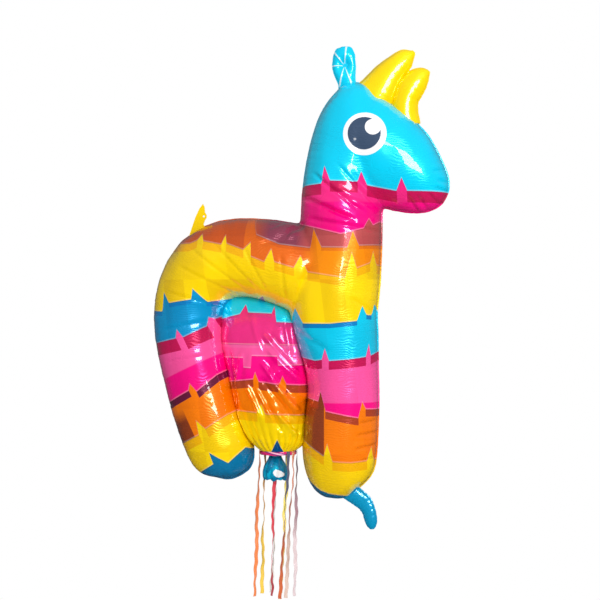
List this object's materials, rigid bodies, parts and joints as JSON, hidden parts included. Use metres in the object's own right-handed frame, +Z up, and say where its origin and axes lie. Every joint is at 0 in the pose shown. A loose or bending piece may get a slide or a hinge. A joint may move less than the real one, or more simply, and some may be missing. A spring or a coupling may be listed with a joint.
{
  "type": "pinata",
  "caption": "Hanging pull-ribbon pinata: an air-filled foil animal balloon with a treat pouch, a tear-off neck and decoy ribbons.",
  "frame": {"origin": "centre of the hang hole in the ear, on the plane where the two skins meet", "axes": "+X forward, towards the snout; +Y to the animal's left; +Z up"},
  "size_m": [0.5736, 0.1606, 1.0432],
  "materials": {
    "printed_foil": "glossy metallised film, printed in fringed bands",
    "blue_foil": "glossy metallised film",
    "yellow_foil": "glossy metallised film",
    "welded_foil": "heat-welded film, finely creased",
    "clear_film": "clear film",
    "ring_plastic": "glossy, wrapped in ribbon",
    "red_ribbon": "crimped curling ribbon",
    "orange_ribbon": "crimped curling ribbon",
    "yellow_ribbon": "crimped curling ribbon",
    "silver_ribbon": "crimped curling ribbon",
    "navy_ribbon": "crimped curling ribbon",
    "pink_ribbon": "crimped curling ribbon"
  },
  "bodies": {
    "balloon": {"near_skin": "printed_foil", "far_skin": "printed_foil", "weld_seam": "printed_foil", "ear": "blue_foil", "ear_hang_disc": "welded_foil", "mane_rear_lobe": "yellow_foil", "mane_front_lobe": "yellow_foil", "tail_tab": "yellow_foil", "fill_neck": "blue_foil", "valve_film": "clear_film", "near_pouch_wall": "printed_foil", "far_pouch_wall": "printed_foil", "ribbon_ring": "ring_plastic"},
    "pull_neck": {"tear_off_neck": "blue_foil", "pull_ribbon": "red_ribbon"},
    "decoy_1": {"ribbon_1": "orange_ribbon", "ribbon_1_tab": "orange_ribbon"},
    "decoy_2": {"ribbon_2": "yellow_ribbon", "ribbon_2_tab": "yellow_ribbon"},
    "decoy_3": {"ribbon_3": "silver_ribbon", "ribbon_3_tab": "silver_ribbon"},
    "decoy_4": {"ribbon_4": "yellow_ribbon", "ribbon_4_tab": "yellow_ribbon"},
    "decoy_5": {"ribbon_5": "navy_ribbon", "ribbon_5_tab": "navy_ribbon"},
    "decoy_6": {"ribbon_6": "silver_ribbon", "ribbon_6_tab": "silver_ribbon"},
    "decoy_7": {"ribbon_7": "pink_ribbon", "ribbon_7_tab": "pink_ribbon"}
  },
  "joints": [
    {"name": "neck_pull", "type": "slide", "parent": "balloon", "child": "pull_neck", "axis": [0, 0, -1], "range_m": [0, 0.1]},
    {"name": "decoy_1_pull", "type": "slide", "parent": "balloon", "child": "decoy_1", "axis": [0, 0, -1], "range_m": [0, 0.03]},
    {"name": "decoy_2_pull", "type": "slide", "parent": "balloon", "child": "decoy_2", "axis": [0, 0, -1], "range_m": [0, 0.03]},
    {"name": "decoy_3_pull", "type": "slide", "parent": "balloon", "child": "decoy_3", "axis": [0, 0, -1], "range_m": [0, 0.03]},
    {"name": "decoy_4_pull", "type": "slide", "parent": "balloon", "child": "decoy_4", "axis": [0, 0, -1], "range_m": [0, 0.03]},
    {"name": "decoy_5_pull", "type": "slide", "parent": "balloon", "child": "decoy_5", "axis": [0, 0, -1], "range_m": [0, 0.03]},
    {"name": "decoy_6_pull", "type": "slide", "parent": "balloon", "child": "decoy_6", "axis": [0, 0, -1], "range_m": [0, 0.03]},
    {"name": "decoy_7_pull", "type": "slide", "parent": "balloon", "child": "decoy_7", "axis": [0, 0, -1], "range_m": [0, 0.03]}
  ]
}
